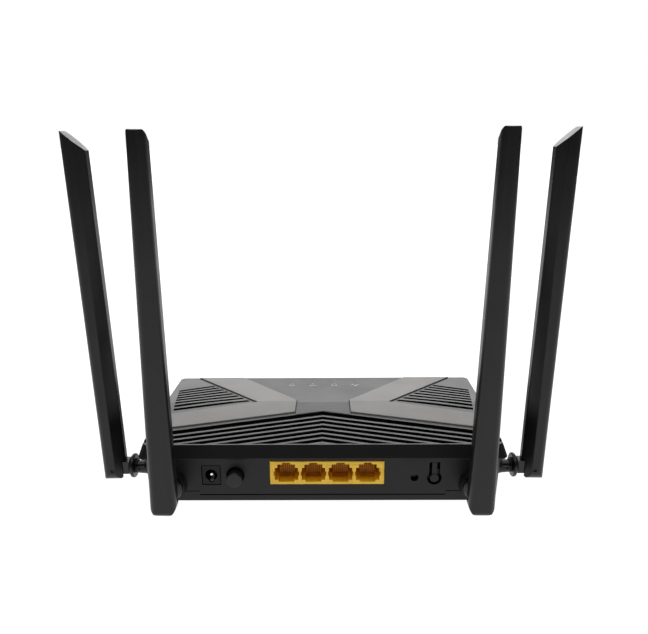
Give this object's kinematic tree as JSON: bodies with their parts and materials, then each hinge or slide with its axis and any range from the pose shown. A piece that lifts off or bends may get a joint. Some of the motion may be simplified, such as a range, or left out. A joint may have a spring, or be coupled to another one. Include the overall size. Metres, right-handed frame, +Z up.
{
  "type": "wireless router",
  "caption": "Low black desktop router with a ridged chevron cover, jack panel and hinged blade antennas that turn and fold at their elbows.",
  "frame": {"origin": "on the table, under the middle of the whole object's box with the antennas upright", "axes": "+Z up, +Y to the front of the router, away from its jack panel, +X to the right seen from behind"},
  "size_m": [0.2438, 0.1138, 0.1881],
  "materials": {
    "cover_plastic": "fine moulded grain, satin rib tops",
    "case_plastic": "fine spark-eroded grain",
    "trim_plastic": "satin grey, moulded in colour",
    "panel_plastic": "satin dark grey with fine lines",
    "button_plastic": "matt",
    "jack_yellow": "semi-gloss yellow nylon",
    "comb_plastic": "brown insulator",
    "contact_metal": "gold-plated spring wire",
    "jack_black": "semi-gloss black",
    "plated_metal": "bright nickel plate",
    "plunger_plastic": "matt black",
    "circuit_board": "green solder mask",
    "chip_black": "moulded package",
    "heat_sink_metal": "extruded",
    "capacitor_sleeve": "shrink sleeve",
    "led_body": "white package",
    "light_pipe": "frosted clear plastic",
    "foot_rubber": "matt",
    "screw_steel": "zinc plated",
    "lead_jacket": "thin coaxial jacket",
    "antenna_plastic": "matt soft grain",
    "swivel_plastic": "satin acetal",
    "spring_steel": "plain",
    "pin_steel": "blackened",
    "radiator_copper": "copper foil strip"
  },
  "bodies": {
    "case": {"antenna_leads": "lead_jacket", "board_screws": "screw_steel", "bottom_tray": "case_plastic", "capacitors": "capacitor_sleeve", "case_screws": "screw_steel", "centre_panel": "panel_plastic", "dc_jack_housing": "jack_black", "dc_jack_pin": "plated_metal", "dc_jack_spring": "plated_metal", "heat_sink": "heat_sink_metal", "lan_contact_combs": "comb_plastic", "lan_contacts": "contact_metal", "lan_jack_housing": "jack_yellow", "lan_transformers": "chip_black", "left_socket": "case_plastic", "left_trim": "trim_plastic", "light_pipes": "light_pipe", "main_board": "circuit_board", "power_switch": "jack_black", "processor": "chip_black", "rear_panel": "case_plastic", "reset_switch": "jack_black", "right_socket": "case_plastic", "right_trim": "trim_plastic", "rubber_feet": "foot_rubber", "shield_can": "plated_metal", "status_leds": "led_body", "top_cover": "cover_plastic", "wps_switch": "jack_black"},
    "power_key": {"power_button": "button_plastic"},
    "wps_key": {"wps_button": "case_plastic", "wps_plunger": "plunger_plastic"},
    "reset_actuator": {"reset_plunger": "plunger_plastic"},
    "rear_left_base": {"rear_left_swivel": "swivel_plastic", "rear_left_clip": "spring_steel", "rear_left_hinge_pin": "pin_steel"},
    "rear_left_blade": {"rear_left_blade_outer": "antenna_plastic", "rear_left_blade_inner": "antenna_plastic", "rear_left_radiator": "radiator_copper"},
    "rear_right_base": {"rear_right_swivel": "swivel_plastic", "rear_right_clip": "spring_steel", "rear_right_hinge_pin": "pin_steel"},
    "rear_right_blade": {"rear_right_blade_outer": "antenna_plastic", "rear_right_blade_inner": "antenna_plastic", "rear_right_radiator": "radiator_copper"},
    "side_left_base": {"side_left_swivel": "swivel_plastic", "side_left_clip": "spring_steel", "side_left_hinge_pin": "pin_steel"},
    "side_left_blade": {"side_left_blade_outer": "antenna_plastic", "side_left_blade_inner": "antenna_plastic", "side_left_radiator": "radiator_copper"},
    "side_right_base": {"side_right_swivel": "swivel_plastic", "side_right_clip": "spring_steel", "side_right_hinge_pin": "pin_steel"},
    "side_right_blade": {"side_right_blade_outer": "antenna_plastic", "side_right_blade_inner": "antenna_plastic", "side_right_radiator": "radiator_copper"}
  },
  "joints": [
    {"name": "rear_left_turn", "type": "hinge", "parent": "case", "child": "rear_left_base", "pos_m": [-0.0782, -0.04022, 0.012], "axis": [0, 1, 0], "range_deg": [-90.9, 49.1]},
    {"name": "rear_left_fold", "type": "hinge", "parent": "rear_left_base", "child": "rear_left_blade", "pos_m": [-0.0782, -0.05152, 0.012], "axis": [0.9999, 0, -0.0157], "range_deg": [0, 90]},
    {"name": "rear_right_turn", "type": "hinge", "parent": "case", "child": "rear_right_base", "pos_m": [0.0782, -0.04022, 0.012], "axis": [0, 1, 0], "range_deg": [-50.4, 89.6]},
    {"name": "rear_right_fold", "type": "hinge", "parent": "rear_right_base", "child": "rear_right_blade", "pos_m": [0.0782, -0.05152, 0.012], "axis": [1, 0, -0.007], "range_deg": [0, 90]},
    {"name": "side_left_turn", "type": "hinge", "parent": "case", "child": "side_left_base", "pos_m": [-0.1022, -0.0177, 0.012], "axis": [1, 0, 0], "range_deg": [-90, 90]},
    {"name": "side_left_fold", "type": "hinge", "parent": "side_left_base", "child": "side_left_blade", "pos_m": [-0.1135, -0.0177, 0.012], "axis": [0, -1, 0], "range_deg": [-1, 89]},
    {"name": "side_right_turn", "type": "hinge", "parent": "case", "child": "side_right_base", "pos_m": [0.1022, -0.0177, 0.012], "axis": [1, 0, 0], "range_deg": [-90, 90]},
    {"name": "side_right_fold", "type": "hinge", "parent": "side_right_base", "child": "side_right_blade", "pos_m": [0.1135, -0.0177, 0.012], "axis": [0, 1, 0], "range_deg": [-1, 89]},
    {"name": "power_press", "type": "slide", "parent": "case", "child": "power_key", "axis": [0, 1, 0], "range_m": [0, 0.002], "stiffness_N_per_m": 400, "springref_m": -0.001},
    {"name": "wps_flex", "type": "hinge", "parent": "case", "child": "wps_key", "pos_m": [0.0577, -0.0358, 0.024], "axis": [1, 0, 0], "range_deg": [0, 3.2], "stiffness_Nm_per_rad": 0.0002},
    {"name": "reset_press", "type": "slide", "parent": "case", "child": "reset_actuator", "axis": [0, 1, 0], "range_m": [0, 0.0005], "stiffness_N_per_m": 1000, "springref_m": -0.0003}
  ]
}
